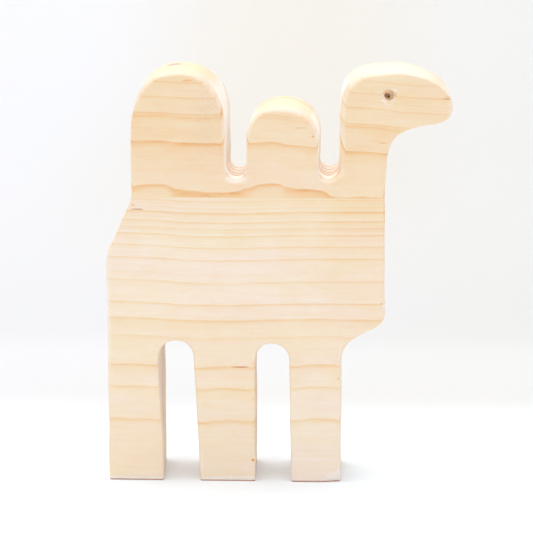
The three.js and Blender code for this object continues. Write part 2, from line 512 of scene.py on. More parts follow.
def cut_grooves(points):
    on_flank = points[:, 1] < -BOARD_HALF + 0.4
    flat = points[:, (0, 2)]
    for start, end, width, depth in GROOVES:
        onward, sideways, length = groove_axes(start, end)
        along = (flat - start) @ onward
        across = np.abs((flat - start) @ sideways)
        mouth = np.clip(1.0 - across / (1.3 * width), 0.0, 1.0)
        ends = smooth_step(-0.3, 0.5, along) * smooth_step(length + 0.3, length - 0.5, along)
        points[:, 1] += np.where(on_flank, depth * mouth * ends, 0.0)


def rub_facets(points):
    for (rear, front), place, faces in FACETS:
        normal = np.array(faces)
        normal /= np.linalg.norm(normal)
        proud = (points - place) @ normal
        proud += 0.03 * np.sin(3.1 * points[:, 0]) * np.sin(2.3 * points[:, 2] + 1.0)
        near = (points[:, 0] > rear) & (points[:, 0] < front)
        near &= (points[:, 1] < -10.0) & (points[:, 2] < 6.0)
        push = np.where(near & (proud > 0.0), proud, 0.0)
        points -= push[:, None] * normal


def knock_chips(points):
    for centre, reach, push in CHIPS:
        away = (points - centre) / reach
        share = np.clip(1.0 - (away ** 2).sum(axis=1), 0.0, 1.0)
        rough = 0.8 + 0.2 * np.sin(points[:, 0] * 9.0) * np.sin(points[:, 2] * 11.0)
        points += (share * rough)[:, None] * push


def tear_fibres(points):
    """Short shallow tears along the grain on the big hump's right flank."""
    random = np.random.default_rng(41)
    x0, z0, x1, z1 = TORN_PATCH
    on_flank = points[:, 1] < -BOARD_HALF + 0.05
    for _ in range(110):
        x = x0 + (x1 - x0) * random.beta(2.2, 1.6)
        z = random.uniform(z0, z1)
        long, tall = random.uniform(0.5, 1.5), random.uniform(0.25, 0.5)
        deep = random.uniform(-0.05, 0.13)
        away = ((points[:, 0] - x) / long) ** 2 + ((points[:, 2] - z) / tall) ** 2
        points[:, 1] += np.where(on_flank, deep * np.exp(-1.5 * away), 0.0)


def raise_fuzz(points, eye):
    """Fibres pushed up round the lower rear of the eye by the drill."""
    offset = points[:, (0, 2)] - eye
    radius = np.hypot(*offset.T)
    angle = np.arctan2(offset[:, 1], offset[:, 0])
    lower_rear = np.clip(np.cos(angle + 2.1), 0.0, 1.0)
    lip = np.exp(-((radius - 3.0) / 0.4) ** 2)
    torn = 0.55 + 0.45 * np.sin(angle * 13.0) * np.sin(angle * 7.0 + 1.0)
    on_flank = points[:, 1] < -BOARD_HALF + 0.3
    points[:, 1] -= np.where(on_flank, 0.22 * lower_rear * lip * torn, 0.0)


def plane_faces(points):
    """The broad faces are planed nearly flat, with a faint long waviness."""
    x, _, z = points.T
    waviness = 0.02 * np.sin(x / 9.0 + 0.7) * np.sin(z / 13.0 + 1.9)
    waviness += 0.015 * np.sin(x / 4.1 + z / 17.0)
    points[:, 1] += waviness


# ---------------- from shell to pieces

def wall_quads(rows, columns, first):
    """Quads over a closed grid of rows, facing outwards from the figure."""
    here = np.arange(columns)
    onward = (here + 1) % columns
    quads = []
    for k in range(rows - 1):
        a, b = first + k * columns, first + (k + 1) * columns
        quads.append(np.column_stack([a + here, a + onward, b + onward, b + here]))
    return np.vstack(quads)


def facing(points, triangles, forward):
    """Triangles turned so that they all face -Y (forward) or +Y."""
    a, b, c = (points[triangles[:, k]][:, (0, 2)] for k in range(3))
    turn = (b[:, 0] - a[:, 0]) * (c[:, 1] - a[:, 1]) - (b[:, 1] - a[:, 1]) * (c[:, 0] - a[:, 0])
    wrong = (turn < 0) if forward else (turn > 0)
    turned = triangles.copy()
    turned[wrong] = turned[wrong][:, ::-1]
    return turned


def pit_cap(grid, first):
    """Triangles from a pit's last row to the one point that follows its rows."""
    last = first + (len(grid) - 1) * EYE_COLUMNS
    here = np.arange(EYE_COLUMNS)
    tip = np.full(EYE_COLUMNS, last + EYE_COLUMNS)
    return np.column_stack([last + here, last + (here + 1) % EYE_COLUMNS, tip])


def whole_figure():
    """The points and faces of the sawn figure as one closed skin."""
    rim = Rim()
    wall = rim_grid(rim)
    seam = []
    for height in (SEAM_BOTTOM, SEAM_TOP):
        on_it = np.flatnonzero(np.abs(rim.points[:, 1] - height) < 1e-9)
        seam.append(sorted(on_it, key=lambda i: rim.points[i, 0]))

    parts = [wall.reshape(-1, 3)]
    faces = [wall_quads(len(wall), rim.count, 0)]
    total = len(parts[0])
    for side, row, grooves, seed in ((-1, 0, GROOVES, 51), (1, -1, (), 52)):
        pit, eye = eye_pit(side, seed)
        tip = pit[-1].mean(axis=0) - (0.0, side * 0.1, 0.0)
        parts += [pit.reshape(-1, 3), tip[None]]
        faces += [wall_quads(len(pit), EYE_COLUMNS, total), pit_cap(pit, total)]
        eye_first = total
        total += pit.size // 3 + 1

        loose, triangles = face_mesh(
            wall[row][:, (0, 2)], pit[0][:, (0, 2)], seam, grooves, seed)
        rim_first = (len(wall) - 1) * rim.count * (side > 0)
        number = np.concatenate([
            rim_first + np.arange(rim.count),
            eye_first + np.arange(EYE_COLUMNS),
            total + np.arange(len(loose))])
        flank = np.full(len(loose), side * BOARD_HALF)
        parts.append(np.column_stack([loose[:, 0], flank, loose[:, 1]]))
        total += len(loose)
        faces.append(facing(np.vstack(parts), number[triangles], side < 0))
    points = np.vstack(parts)

    plane_faces(points)
    cut_grooves(points)
    rub_facets(points)
    knock_chips(points)
    tear_fibres(points)
    raise_fuzz(points, eye)
    return points, faces


def make_piece(name, points, faces, low_z, high_z):
    """One piece of the figure between two heights, its glued faces closed and flat."""
    mesh = bmesh.new()
    tolerance = 1e-6
    used = {}
    for group in faces:
        heights = points[group][:, :, 2]
        keep = heights.min(axis=1) > low_z - tolerance
        keep &= heights.max(axis=1) < high_z + tolerance
        for face in group[keep]:
            verts = []
            for k in face:
                if k not in used:
                    used[k] = mesh.verts.new(points[k] * MM)
                verts.append(used[k])
            mesh.faces.new(verts)
    open_edges = [e for e in mesh.edges if e.is_boundary]
    for height in (low_z, high_z):
        ring = [e for e in open_edges if abs(e.verts[0].co.z / MM - height) < 1e-4]
        if ring:
            bmesh.ops.triangle_fill(mesh, edges=ring, use_beauty=True)
    bmesh.ops.recalc_face_normals(mesh, faces=mesh.faces)
    for face in mesh.faces:
        face.smooth = True
    for edge in mesh.edges:
        if len(edge.link_faces) != 2:
            raise RuntimeError(f"{name} is not closed")
        edge.smooth = edge.calc_face_angle(0.0) < math.radians(48.0)
    data = bpy.data.meshes.new(name)
    mesh.to_mesh(data)
    mesh.free()
    piece = bpy.data.objects.new(name, data)
    bpy.context.scene.collection.objects.link(piece)
    return piece


def build_pieces():
    points, faces = whole_figure()
    bounds = {
        "upper_stave": (SEAM_TOP, 1000.0, "upper_board"),
        "glue_seam": (SEAM_BOTTOM, SEAM_TOP, "glue"),
        "lower_stave": (-1000.0, SEAM_BOTTOM, "lower_board"),
    }
    pieces = {}
    for node, (low_z, high_z, slot) in bounds.items():
        piece = make_piece("carved_" + node, points, faces, low_z, high_z)
        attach(piece, BODY)
        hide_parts(node)
        pieces[node] = piece
    return pieces


# ---------------- materials: the tools

class Term:
    """A value that varies over a surface; arithmetic on it adds Math nodes."""

    def __init__(self, paint, socket):
        self.paint = paint
        self.socket = socket

    def __add__(self, other):
        return self.paint.math("ADD", self, other)

    __radd__ = __add__

    def __sub__(self, other):
        return self.paint.math("SUBTRACT", self, other)

    def __rsub__(self, other):
        return self.paint.math("SUBTRACT", other, self)

    def __mul__(self, other):
        return self.paint.math("MULTIPLY", self, other)

    __rmul__ = __mul__

    def __truediv__(self, other):
        return self.paint.math("DIVIDE", self, other)


class Paint:
    """A material under construction; x, y and z are millimetres in the figure's frame, and
    offset is where its noise starts."""

    def __init__(self, name, offset=(0.0, 0.0, 0.0)):
        self.offset = offset
        self.material = bpy.data.materials.new(name)
        self.material.use_nodes = True
        self.tree = self.material.node_tree
        self.shader = self.tree.nodes["Principled BSDF"]
        place = self.node("ShaderNodeTexCoord")
        self.x, self.y, self.z = (
            axis / MM for axis in self.apart(place.outputs["Object"]))
        self.place = self.together(self.x, self.y, self.z)
        self.normal = self.apart(place.outputs["Normal"])

    def node(self, kind, **settings):
        made = self.tree.nodes.new(kind)
        for key, value in settings.items():
            setattr(made, key, value)
        return made

    def put(self, socket, value):
        if isinstance(value, Term):
            value = value.socket
        if isinstance(value, bpy.types.NodeSocket):
            self.tree.links.new(value, socket)
        elif hasattr(value, "__len__") and len(value) == 3 and socket.type == "RGBA":
            socket.default_value = (*value, 1.0)
        else:
            socket.default_value = value

    def apart(self, vector):
        split = self.node("ShaderNodeSeparateXYZ")
        self.put(split.inputs[0], vector)
        return [Term(self, out) for out in split.outputs]

    def together(self, *axes):
        join = self.node("ShaderNodeCombineXYZ")
        for socket, value in zip(join.inputs, axes):
            self.put(socket, value)
        return join.outputs[0]

    def math(self, operation, *values):
        made = self.node("ShaderNodeMath", operation=operation)
        for socket, value in zip(made.inputs, values):
            self.put(socket, value)
        return Term(self, made.outputs[0])

    def step(self, low, high, value):
        """A smooth rise from 0 at low to 1 at high; low may be above high."""
        made = self.node("ShaderNodeMapRange", interpolation_type="SMOOTHSTEP")
        ends = (low, high, 0.0, 1.0) if low < high else (high, low, 1.0, 0.0)
        for socket, end in zip(made.inputs[1:5], ends):
            self.put(socket, end)
        self.put(made.inputs[0], value)
        return Term(self, made.outputs[0])

    def noise(self, waves, detail, rough=0.5, offset=None):
        """Noise from about -1 to 1, with so many waves per millimetre along each axis."""
        axes = (self.x, self.y, self.z)
        starts = self.offset if offset is None else offset
        where = self.together(*(a * w + start for a, w, start in zip(axes, waves, starts)))
        made = self.node("ShaderNodeTexNoise")
        self.put(made.inputs["Vector"], where)
        self.put(made.inputs["Scale"], 1.0)
        self.put(made.inputs["Detail"], detail)
        self.put(made.inputs["Roughness"], rough)
        return (Term(self, made.outputs["Fac"]) - 0.5) * 3.0

    def curve(self, value, points, bends=True):
        """A curve through given points, rounded where bends is true."""
        first, last = points[0][0], points[-1][0]
        heights = [p[1] for p in points]
        low, high = min(heights), max(heights)
        made = self.node("ShaderNodeFloatCurve")
        line = made.mapping.curves[0]
        while len(line.points) < len(points):
            line.points.new(0.5, 0.5)
        for knot, (across, height) in zip(line.points, points):
            knot.location = ((across - first) / (last - first), (height - low) / (high - low))
            knot.handle_type = "AUTO_CLAMPED" if bends else "VECTOR"
        made.mapping.update()
        self.put(made.inputs["Value"], (value - first) / (last - first))
        return Term(self, made.outputs[0]) * (high - low) + low

    def ramp(self, value, stops, steps=False):
        """A colour for each value from 0 to 1."""
        made = self.node("ShaderNodeValToRGB")
        made.color_ramp.interpolation = "CONSTANT" if steps else "LINEAR"
        elements = made.color_ramp.elements
        while len(elements) < len(stops):
            elements.new(1.0)
        for element, (place, colour) in zip(elements, stops):
            element.position = place
            element.color = (*colour, 1.0)
        self.put(made.inputs[0], value)
        return made.outputs[0]

    def blend(self, share, under, over, kind="MIX"):
        made = self.node("ShaderNodeMix", data_type="RGBA", blend_type=kind)
        for name, value in (("Factor_Float", share), ("A_Color", under), ("B_Color", over)):
            socket = next(s for s in made.inputs if s.identifier == name)
            self.put(socket, value)
        return next(s for s in made.outputs if s.identifier == "Result_Color")

    def vector(self, operation, *values):
        made = self.node("ShaderNodeVectorMath", operation=operation)
        for socket, value in zip(made.inputs, values):
            self.put(socket, value)
        return made.outputs["Value" if operation == "LENGTH" else "Vector"]

    def spots(self, table, softness=0.35):
        """The sum of ellipsoids, each given as a centre, half-sizes and its strength inside."""
        total = 0.0
        for centre, reach, strength in table:
            away = self.vector("DIVIDE", self.vector("SUBTRACT", self.place, centre), reach)
            size = self.vector("LENGTH", away)
            total = self.step(1.0 + softness, 1.0 - softness, size) * strength + total
        return total

    def finish(self, colour, roughness, bump, specular=0.3):
        """Links a colour, a roughness and a height in millimetres to the shader."""
        raised = self.node("ShaderNodeBump")
        self.put(raised.inputs["Distance"], MM)
        self.put(raised.inputs["Height"], bump)
        self.put(self.shader.inputs["Normal"], raised.outputs[0])
        self.put(self.shader.inputs["Base Color"], colour)
        self.put(self.shader.inputs["Roughness"], roughness)
        self.put(self.shader.inputs["Specular IOR Level"], specular)
        return self.material


def srgb(red, green, blue):
    """A colour given as it looks on a screen, turned into the linear one that nodes use."""
    return tuple(
        c / 12.92 if c <= 0.04045 else ((c + 0.055) / 1.055) ** 2.4
        for c in (red / 255.0, green / 255.0, blue / 255.0))


# ---------------- materials: the wood

# From bleached sapwood to dark resin
WOOD_TONES = (
    (0.00, srgb(243, 230, 218)),
    (0.20, srgb(241, 221, 199)),
    (0.40, srgb(239, 214, 181)),
    (0.60, srgb(238, 203, 161)),
    (0.80, srgb(235, 189, 138)),
    (1.00, srgb(226, 166, 108)),
)
LATE_SHADE = 0.42             # how far full latewood moves the tone
SAWN_PALE_AND_LIT = srgb(254, 250, 246)   # fuzzy sawn end grain, raised paler as painted light
SCUFF_AND_HIGHLIGHT_PALE = srgb(244, 237, 231)  # rubbed and chipped wood, and painted highlights
# Dark of the cracks, also used as painted shade in the eye's prick
CRACK_AND_SHADE_DARK = srgb(190, 104, 56)
SOLE_LINE_AND_SHADOW_DARK = srgb(178, 100, 48)    # the soles' lower edge: a dark line deepened into painted contact shadow
EYE_SHADE_DARK = srgb(112, 66, 32)      # painted shade at the bottom of the eye
# Grey of the knot, also used for a painted glint in the eye
KNOT_AND_GLINT_GREY = srgb(186, 160, 158)
YELLOW_TINT = (0.995, 1.0, 0.90)  # the wood's hue wanders between these two
PINK_TINT = (1.0, 0.965, 0.99)
INNER_RING_GAP = 5.2          # mean distance between the rings nearer the pith

# Fine structure: waves per mm along each axis, detail, roughness
GRAIN = (
    ((0.012, 0.05, 0.05), 1.0, 0.5),      # slow changes
    ((0.10, 0.28, 0.28), 2.0, 0.5),       # mottling
    ((0.035, 0.9, 0.9), 2.0, 0.5),        # streaks
    ((0.22, 4.5, 4.5), 3.0, 0.6),         # fibres
    ((0.9, 5.0, 5.0), 2.0, 0.7),          # pores
)


def spot(x, z, wide, tall, strength, sink=0.0, deep=1.0):
    """A place on the right flank, or sink below it, with its half-sizes and its strength."""
    return (x, sink - BOARD_HALF, z), (wide, deep, tall), strength


# What tells one stave's wood from the other's:
# rings   where the tree's rings end on the right flank: the height above the sole at the
#         middle of the figure, how strong the latewood is there, and its depth inwards
# warp    how much higher the rings lie along the stave than at its middle, by x
# bow     how much they bow upwards across each leg, by x
# wave    how much wider the rings run along the stave, by x
# wavy    how much deeper or shallower the latewood of the lowest of them is, by x
# plain   the tone of the wood between the rings, by height
# resin   darker and (negative) paler places; those in the eye and the front notch are painted shade
# scuffs  rubbed and chipped places; some on the legs' edges, the rear notch and the eye's rim are
# painted highlights
# torn    where the saw tore the fibres; the last two are painted shade at the eye's bottom, and grey places: the knot and a painted glint in the eye
LOWER = SimpleNamespace(
    name="softwood_lower",
    place=(3.0, 7.0, 1.0),    # where its noise starts
    heart=60.0,               # depth of the pith behind the mid-plane
    heart_height=0.0,
    innermost=46.0,           # radius of the innermost ring that the stave reaches
    edge=0.25,                # how quickly the latewood ends outwards
    rings=(
        (103.6, 0.55, 0.8), (102.4, 0.3, 0.3), (101.1, 0.45, 0.5), (99.4, 0.85, 1.2),
        (97.6, 0.3, 0.4), (96.0, 0.85, 0.6), (93.6, 0.6, 0.5), (92.9, 0.45, 0.7),
        (91.1, 0.9, 0.6), (89.3, 0.25, 0.4), (86.9, 0.8, 0.55), (82.4, 0.85, 0.5),
        (77.3, 0.2, 0.6), (74.2, 0.65, 1.0), (66.0, 0.95, 0.7), (60.3, 0.9, 1.3),
        (53.9, 0.5, 1.0), (43.0, 0.95, 0.8), (34.9, 0.75, 0.6), (22.8, 0.9, 0.45)),
    warp=((-62.0, 0.8), (-45.0, 0.45), (-23.0, -0.45), (-5.0, 0.0), (10.0, 0.45), (40.0, 0.7)),
    bow=(
        (-62.0, 0.0), (-45.0, 0.0), (-28.5, -0.2), (-18.5, 0.5), (-8.5, 0.0), (4.5, 0.0),
        (13.7, 0.75), (22.8, 0.0)),
    wave=None,
    wavy=None,
    plain=((0.0, 0.24), (38.0, 0.23), (58.0, 0.20), (68.0, 0.13), (85.0, 0.16), (104.5, 0.22)),
    resin_and_shade=(
        spot(-51.6, 101.8, 0.45, 0.4, 0.45),
        spot(-9.0, 8.1, 0.6, 0.5, 1.0),
        spot(21.6, 38.8, 0.5, 0.4, 0.5),
        spot(-9.0, 44.2, 0.45, 0.9, 0.4, sink=0.4),
        spot(-8.8, 31.0, 0.4, 1.1, 0.22, sink=0.4),
        spot(-8.8, 20.0, 0.25, 7.0, 0.12, sink=0.2, deep=0.6),
        spot(37.6, 100.0, 0.3, 4.0, 0.3, sink=0.2, deep=0.8),
        spot(36.9, 66.6, 0.4, 0.25, 0.6),
        spot(37.4, 65.2, 0.25, 0.25, 0.6),
        spot(14.0, 14.0, 14.0, 30.0, -0.13, deep=40.0),
        spot(30.0, 84.0, 16.0, 24.0, 0.10, deep=40.0)),
    cracks_and_shade=(
        spot(-50.2, 100.25, 2.2, 0.17, 0.7),
        spot(-13.6, 42.8, 3.0, 0.17, 0.8)),
    scuffs_and_highlights=(
        # Painted highlights along the rounded right edges of the middle and front legs
        spot(-9.0, 46.5, 0.5, 3.0, 0.25, sink=0.3, deep=1.2),
        spot(22.2, 47.0, 0.5, 6.0, 0.2, sink=0.2),
        spot(37.8, 65.6, 0.8, 1.3, 0.6, sink=0.6, deep=1.4),
        spot(-60.8, 60.0, 0.6, 22.0, 0.4, sink=0.2),
        spot(-27.6, 7.0, 0.6, 5.0, 0.25, sink=0.1)),
    torn=None,
    eye_shade=None,
)
UPPER = SimpleNamespace(
    name="softwood_upper",
    place=(41.0, 13.0, 5.0),
    heart=46.0,
    heart_height=100.0,
    innermost=32.0,
    edge=0.1,
    rings=(
        (150.3, 0.4, 0.4), (145.9, 0.55, 0.5), (143.2, 0.3, 0.4), (140.7, 0.65, 0.6),
        (134.9, 0.6, 0.4), (134.1, 0.65, 1.0), (129.8, 0.15, 0.5), (124.9, 0.95, 1.2),
        (108.9, 1.15, 0.45)),
    warp=(
        (-54.0, 0.0), (-14.0, 0.0), (-8.0, -1.0), (0.0, -1.4), (8.0, -2.0), (13.0, -2.5),
        (21.0, -3.0), (28.0, -3.4), (35.0, -3.9), (45.0, -5.0), (62.0, -5.8)),
    bow=None,
    wave=(
        (-54.0, -0.08), (-42.0, 0.05), (-37.0, -0.14), (-30.0, -0.24), (-20.0, -0.32),
        (-12.0, -0.09), (-5.0, 0.38), (-2.0, 0.43), (3.0, 0.25), (8.0, 0.22), (13.0, 0.24),
        (17.0, 0.15), (21.0, -0.09), (30.0, 0.0), (62.0, 0.02)),
    wavy=(
        (-54.0, 0.5), (-40.0, 0.5), (-34.0, 1.6), (-14.0, 1.5), (-6.0, 0.8), (0.0, 0.8),
        (6.0, 1.6), (18.0, 1.6), (24.0, 1.0), (62.0, 1.0)),
    plain=((104.0, 0.34), (116.0, 0.37), (128.0, 0.40), (150.0, 0.41)),
    resin_and_shade=(
        spot(12.2, 126.7, 0.5, 0.3, 0.6),
        spot(36.8, 124.6, 1.6, 0.3, 0.35),
        spot(8.0, 129.7, 2.4, 0.35, 0.3),
        spot(-32.0, 146.3, 1.9, 0.35, 0.35),
        spot(37.5, 107.2, 0.3, 2.4, 0.4, sink=0.2),
        # Painted shade round the eye's upper and right rim and inside the hole
        spot(37.3, 142.5, 0.55, 0.75, 0.35, sink=0.5, deep=1.2),
        spot(38.2, 143.2, 0.85, 0.4, 0.3, sink=0.5, deep=1.2),
        spot(41.1, 141.5, 0.5, 0.8, 0.35, sink=0.2, deep=1.2),
        spot(38.8, 141.5, 2.1, 2.1, 0.32, sink=2.2, deep=1.8),
        spot(-20.0, 138.0, 0.5, 6.0, 0.35, sink=0.2, deep=1.5),
        spot(3.0, 122.0, 16.0, 14.0, -0.07, deep=40.0),
        spot(47.0, 140.0, 18.0, 12.0, -0.05, deep=40.0),
        spot(38.0, 150.0, 24.0, 7.0, -0.22, sink=14.0, deep=13.5),
        # Painted shade in the front notch, by the neck's rear wall
        spot(20.0, 118.0, 2.8, 8.0, 0.22, sink=1.5, deep=3.5)),
    cracks_and_shade=(
        spot(59.2, 140.25, 1.7, 0.13, 0.6),
        spot(59.6, 141.0, 1.2, 0.1, 0.5),
        spot(59.7, 137.0, 0.9, 0.12, 0.35, sink=0.4),
        spot(38.5, 140.75, 1.0, 0.7, 0.7, sink=3.2, deep=1.1)),     # painted shade in the eye's prick
    scuffs_and_highlights=(
        # Pale torn fibres round the eye's rim, with painted highlight on its lower lip
        spot(36.6, 139.6, 0.4, 0.5, 0.6, deep=0.8),
        spot(37.5, 138.75, 0.28, 0.5, 0.9, deep=0.8),
        spot(38.5, 138.2, 0.6, 0.3, 0.55, deep=0.8),
        spot(39.9, 138.4, 0.8, 0.3, 0.3, deep=0.8),
        spot(40.8, 143.2, 0.7, 0.35, 0.7, sink=0.1, deep=0.8),
        # Painted highlight on the rounded front edge of the rear notch's floor
        spot(-15.0, 111.0, 4.0, 1.4, 0.5, sink=0.5, deep=1.6),
        spot(61.2, 136.5, 2.0, 4.5, 0.3, sink=0.4, deep=1.4)),
    torn=[spot(-25.3, 133.5, 4.3, 13.0, 1.0)],
    # painted shade at the bottom of the eye
    eye_shade=[spot(38.2, 141.3, 1.2, 0.95, 0.8, sink=2.3, deep=1.3)],
    knot_and_glint=(
        spot(-38.2, 149.3, 2.8, 3.0, 0.8, sink=20.5, deep=2.6),     # the knot on the big hump
        spot(39.7, 141.9, 0.7, 0.9, 0.5, sink=1.6, deep=0.9)),      # a painted glint in the eye
)


def ring_rows(stave):
    """Each ring's outer radius, strength and depth, from the innermost ring outwards."""
    rows = [(math.hypot(z - stave.heart_height, BOARD_HALF + stave.heart), strength, depth)
            for z, strength, depth in stave.rings]
    radius = min(rows)[0]
    k = 0
    while radius > stave.innermost:
        k += 1
        radius -= INNER_RING_GAP * (1.0 + 0.18 * math.sin(2.3 * k))
        rows.append((radius, 1.7 + 0.25 * math.sin(1.7 * k), 2.2 + 0.5 * math.sin(3.1 * k)))
    return sorted(rows)


def latewood(paint, radius, rows, edge, stretch):
    """How much latewood lies at a distance from the pith: 0 in earlywood, 1 where it is
    darkest. It deepens slowly outwards and ends at once."""
    knots = [(rows[0][0] - 5.0, 0.0)]
    knots += [(r + 0.5 * edge, k + 1.0) for k, (r, _, _) in enumerate(rows)]
    knots.append((rows[-1][0] + 5.0, len(rows) + 1.0))
    number = paint.curve(radius, knots, bends=False)
    ring = paint.math("FLOOR", number)
    # A stepped ramp holds each ring's width, strength and depth, scaled to fit 0 to 1
    scales = (20.0, 2.0, 4.0)
    widths = [b[0] - a[0] for a, b in zip(knots, knots[1:])]
    table = [(width, *row[1:]) for width, row in zip(widths, rows)]
    table.append((widths[-1], 0.0, 2.0))
    stops = [(k / len(table), tuple(value / scale for value, scale in zip(row, scales)))
             for k, row in enumerate(table)]
    looked_up = paint.apart(paint.ramp((ring + 0.5) / len(table), stops, steps=True))
    width, strength, depth = (term * scale for term, scale in zip(looked_up, scales))
    depth = depth * stretch
    below = (1.0 - paint.math("FRACT", number)) * width
    inwards = paint.math("MAXIMUM", below - edge, 0.0)
    core = inwards / (depth * 0.3 + 0.12)
    dense = paint.math("EXPONENT", core * core * -1.0) * 0.6
    fading = paint.math("EXPONENT", inwards / depth * -1.0) * 0.4
    return paint.step(0.0, edge, below) * (dense + fading) * strength


class Surface:
    """Masks from 0 to 1: which way the surface faces and which part of the figure it is."""

    def __init__(self, paint):
        self.across = paint.math("ABSOLUTE", paint.normal[1])
        self.eased = paint.step(0.95, 0.8, self.across) * paint.step(0.1, 0.45, self.across)
        self.sawn = paint.step(0.75, 0.3, self.across)
        self.end_grain = paint.step(0.6, 0.95, paint.math("ABSOLUTE", paint.normal[0]))
        self.facing_up = paint.step(0.2, 0.8, paint.normal[2])
        self.high = paint.step(104.0, 110.0, paint.z)
        self.eased_high = self.eased * self.high
        self.notch_floor = paint.step(122.0, 116.0, paint.z)
        self.leg_gap = (1.0 - self.high) * paint.step(56.0, 53.0, paint.z)
        self.rear_end = paint.step(-44.0, -50.0, paint.x)


def ring_shade(paint, stave, at):
    """The latewood of rings round a pith behind the board, bent along the grain."""
    x, y, z = paint.x, paint.y, paint.z
    height = z - paint.curve(x, stave.warp) - stave.heart_height
    if stave.bow:
        height = height - paint.curve(x, stave.bow) * paint.step(62.0, 46.0, z)
    height = height + paint.noise((0.02, 0.02, 0.05), 1.0) * 0.25
    depth = y - stave.heart
    radius = paint.math("SQRT", height * height + depth * depth)
    rows = ring_rows(stave)
    stretch = 1.0
    if stave.wave:
        radius = radius - paint.curve(x, stave.wave)
        wavy_ring = rows[-len(stave.rings)][0]
        on_wavy = paint.step(wavy_ring + 0.6, wavy_ring + 0.2, radius)
        on_wavy = on_wavy * paint.step(wavy_ring - 6.0, wavy_ring - 1.0, radius)
        stretch = (paint.curve(x, stave.wavy) - 1.0) * on_wavy + 1.0
    radius = radius + paint.noise((0.09, 0.15, 0.25), 3.0) * 0.32 * stave.edge
    radius = radius + paint.noise((0.35, 0.6, 0.6), 2.0) * 0.16 * stave.edge
    late = latewood(paint, radius, rows, stave.edge, stretch)
    late = late * (1.0 + paint.noise((0.10, 0.4, 0.9), 2.0) * 0.35)
    # They stand out on the eased edges and the notch floors; on the tops they are faded out as a
    # painted highlight
    late = late * (1.0 + at.eased_high * (0.8 - at.facing_up * 1.4))
    return late * (1.0 + at.sawn * at.high * (at.notch_floor * 0.6 - 0.3))


def wood(stave):
    """A stave's material: its rings, its fine structure, then the marks of tools and use, with
    painted light and shade among them.
    """
    paint = Paint(stave.name, stave.place)
    at = Surface(paint)
    late = ring_shade(paint, stave, at)
    slow, mottle, streaks, fibres, pores = (paint.noise(*layer) for layer in GRAIN)

    # A painted highlight pales the eased edges high up, and sawing the end grain; upward-facing
    # sawn faces keep a little more tone as painted shade
    plain = slow * 0.06 + mottle * 0.085 + paint.curve(paint.z, stave.plain)
    paled_and_highlit = paint.math("MAXIMUM", at.eased_high * 0.6, at.sawn * 0.45 - at.facing_up * 0.15)
    plain = plain * (1.0 - paled_and_highlit)
    tone = late * LATE_SHADE + plain + streaks * 0.08 + fibres * 0.12 + pores * 0.07
    # Resin canals are fine dark dashes along the grain
    canals = paint.noise((0.28, 2.4, 2.4), 0.0)
    tone = tone + paint.step(0.75, 1.1, canals) * 0.13
    # The eased edges of the legs are a little darker
    tone = tone + at.eased * at.leg_gap * 0.09
    tone = tone + paint.spots(stave.resin_and_shade)
    if stave.torn:
        torn = paint.spots(stave.torn, softness=0.5)
        flecks = paint.noise((0.8, 1.0, 3.2), 2.0, 0.7, offset=(7.0, 0.0, 3.0))
        tone = tone + torn * flecks * 0.30

    colour = paint.ramp(tone, WOOD_TONES)
    hue = paint.noise((0.03, 0.11, 0.11), 2.0, offset=np.roll(stave.place, 1))
    tint = paint.blend(hue * 0.5 + 0.5, YELLOW_TINT, PINK_TINT)
    colour = paint.blend(1.0, colour, tint, "MULTIPLY")
    # The saw leaves a pale fuzz on the end grain; at the rear it is mostly sanded off. High up, on
    # the walls of the humps and notches and on the notch floors, it is paler still: painted light
    # there
    fuzz_and_painted_light = at.end_grain * (0.45 + at.high * 0.5)
    fuzz_and_painted_light = at.sawn * paint.math("MAXIMUM", fuzz_and_painted_light, at.notch_floor * at.high * 0.8)
    fuzz_and_painted_light = fuzz_and_painted_light * (1.0 - late * 0.9) * (1.0 - at.eased * 0.7) * (1.0 - at.rear_end * 0.75)

    # Rubbed facets at the soles, rubbed and chipped places with some painted highlights among
    # them, and places where the torn fibres stand up
    facet = paint.step(-0.08, -0.16, paint.normal[2]) * paint.step(6.0, 5.0, paint.z)
    rubbed = facet * at.across * paint.step(-0.9, 0.3, streaks + pores * 0.6)
    scuffed_and_highlit = paint.math("MAXIMUM", rubbed * 0.85, paint.spots(stave.scuffs_and_highlights))
    if stave.torn:
        scuffed_and_highlit = scuffed_and_highlit + torn * paint.step(0.35, 1.0, flecks) * 0.7
    scuffed_and_highlit = scuffed_and_highlit * paint.step(-1.1, 0.1, pores)
    # A dark line along the soles' lower edge, deepened as painted contact shadow
    sole_line_and_shadow = paint.step(0.6, 0.25, paint.z + fibres * 0.12) * 0.85
    marks = [(fuzz_and_painted_light, SAWN_PALE_AND_LIT), (scuffed_and_highlit, SCUFF_AND_HIGHLIGHT_PALE), (sole_line_and_shadow, SOLE_LINE_AND_SHADOW_DARK),
             (paint.spots(stave.cracks_and_shade), CRACK_AND_SHADE_DARK)]
    # Painted shade at the eye's bottom, and the grey of the knot and of a painted glint in the eye
    if stave.eye_shade:
        marks.append((paint.spots(stave.eye_shade), EYE_SHADE_DARK))
        marks.append((paint.spots(stave.knot_and_glint, softness=0.4), KNOT_AND_GLINT_GREY))
    for share, over in marks:
        colour = paint.blend(share, colour, over)

    roughness = 0.5 + fibres * 0.06 + at.sawn * 0.12
    bump = fibres * 0.016 + pores * 0.01 + late * 0.02 + streaks * 0.006
    if stave.torn:
        bump = bump + torn * fibres * 0.05
    return paint.finish(colour, roughness, bump, specular=0.45)


def glue():
    """Set glue: one even tone, faintly clouded."""
    paint = Paint("wood_glue")
    cloud = paint.noise((0.15, 0.5, 0.5), 2.0)
    colour = paint.ramp(cloud * 0.06 + 0.5, WOOD_TONES)
    return paint.finish(colour, 0.45 + cloud * 0.05, cloud * 0.01, specular=0.4)


# ---------------- stage, light, camera

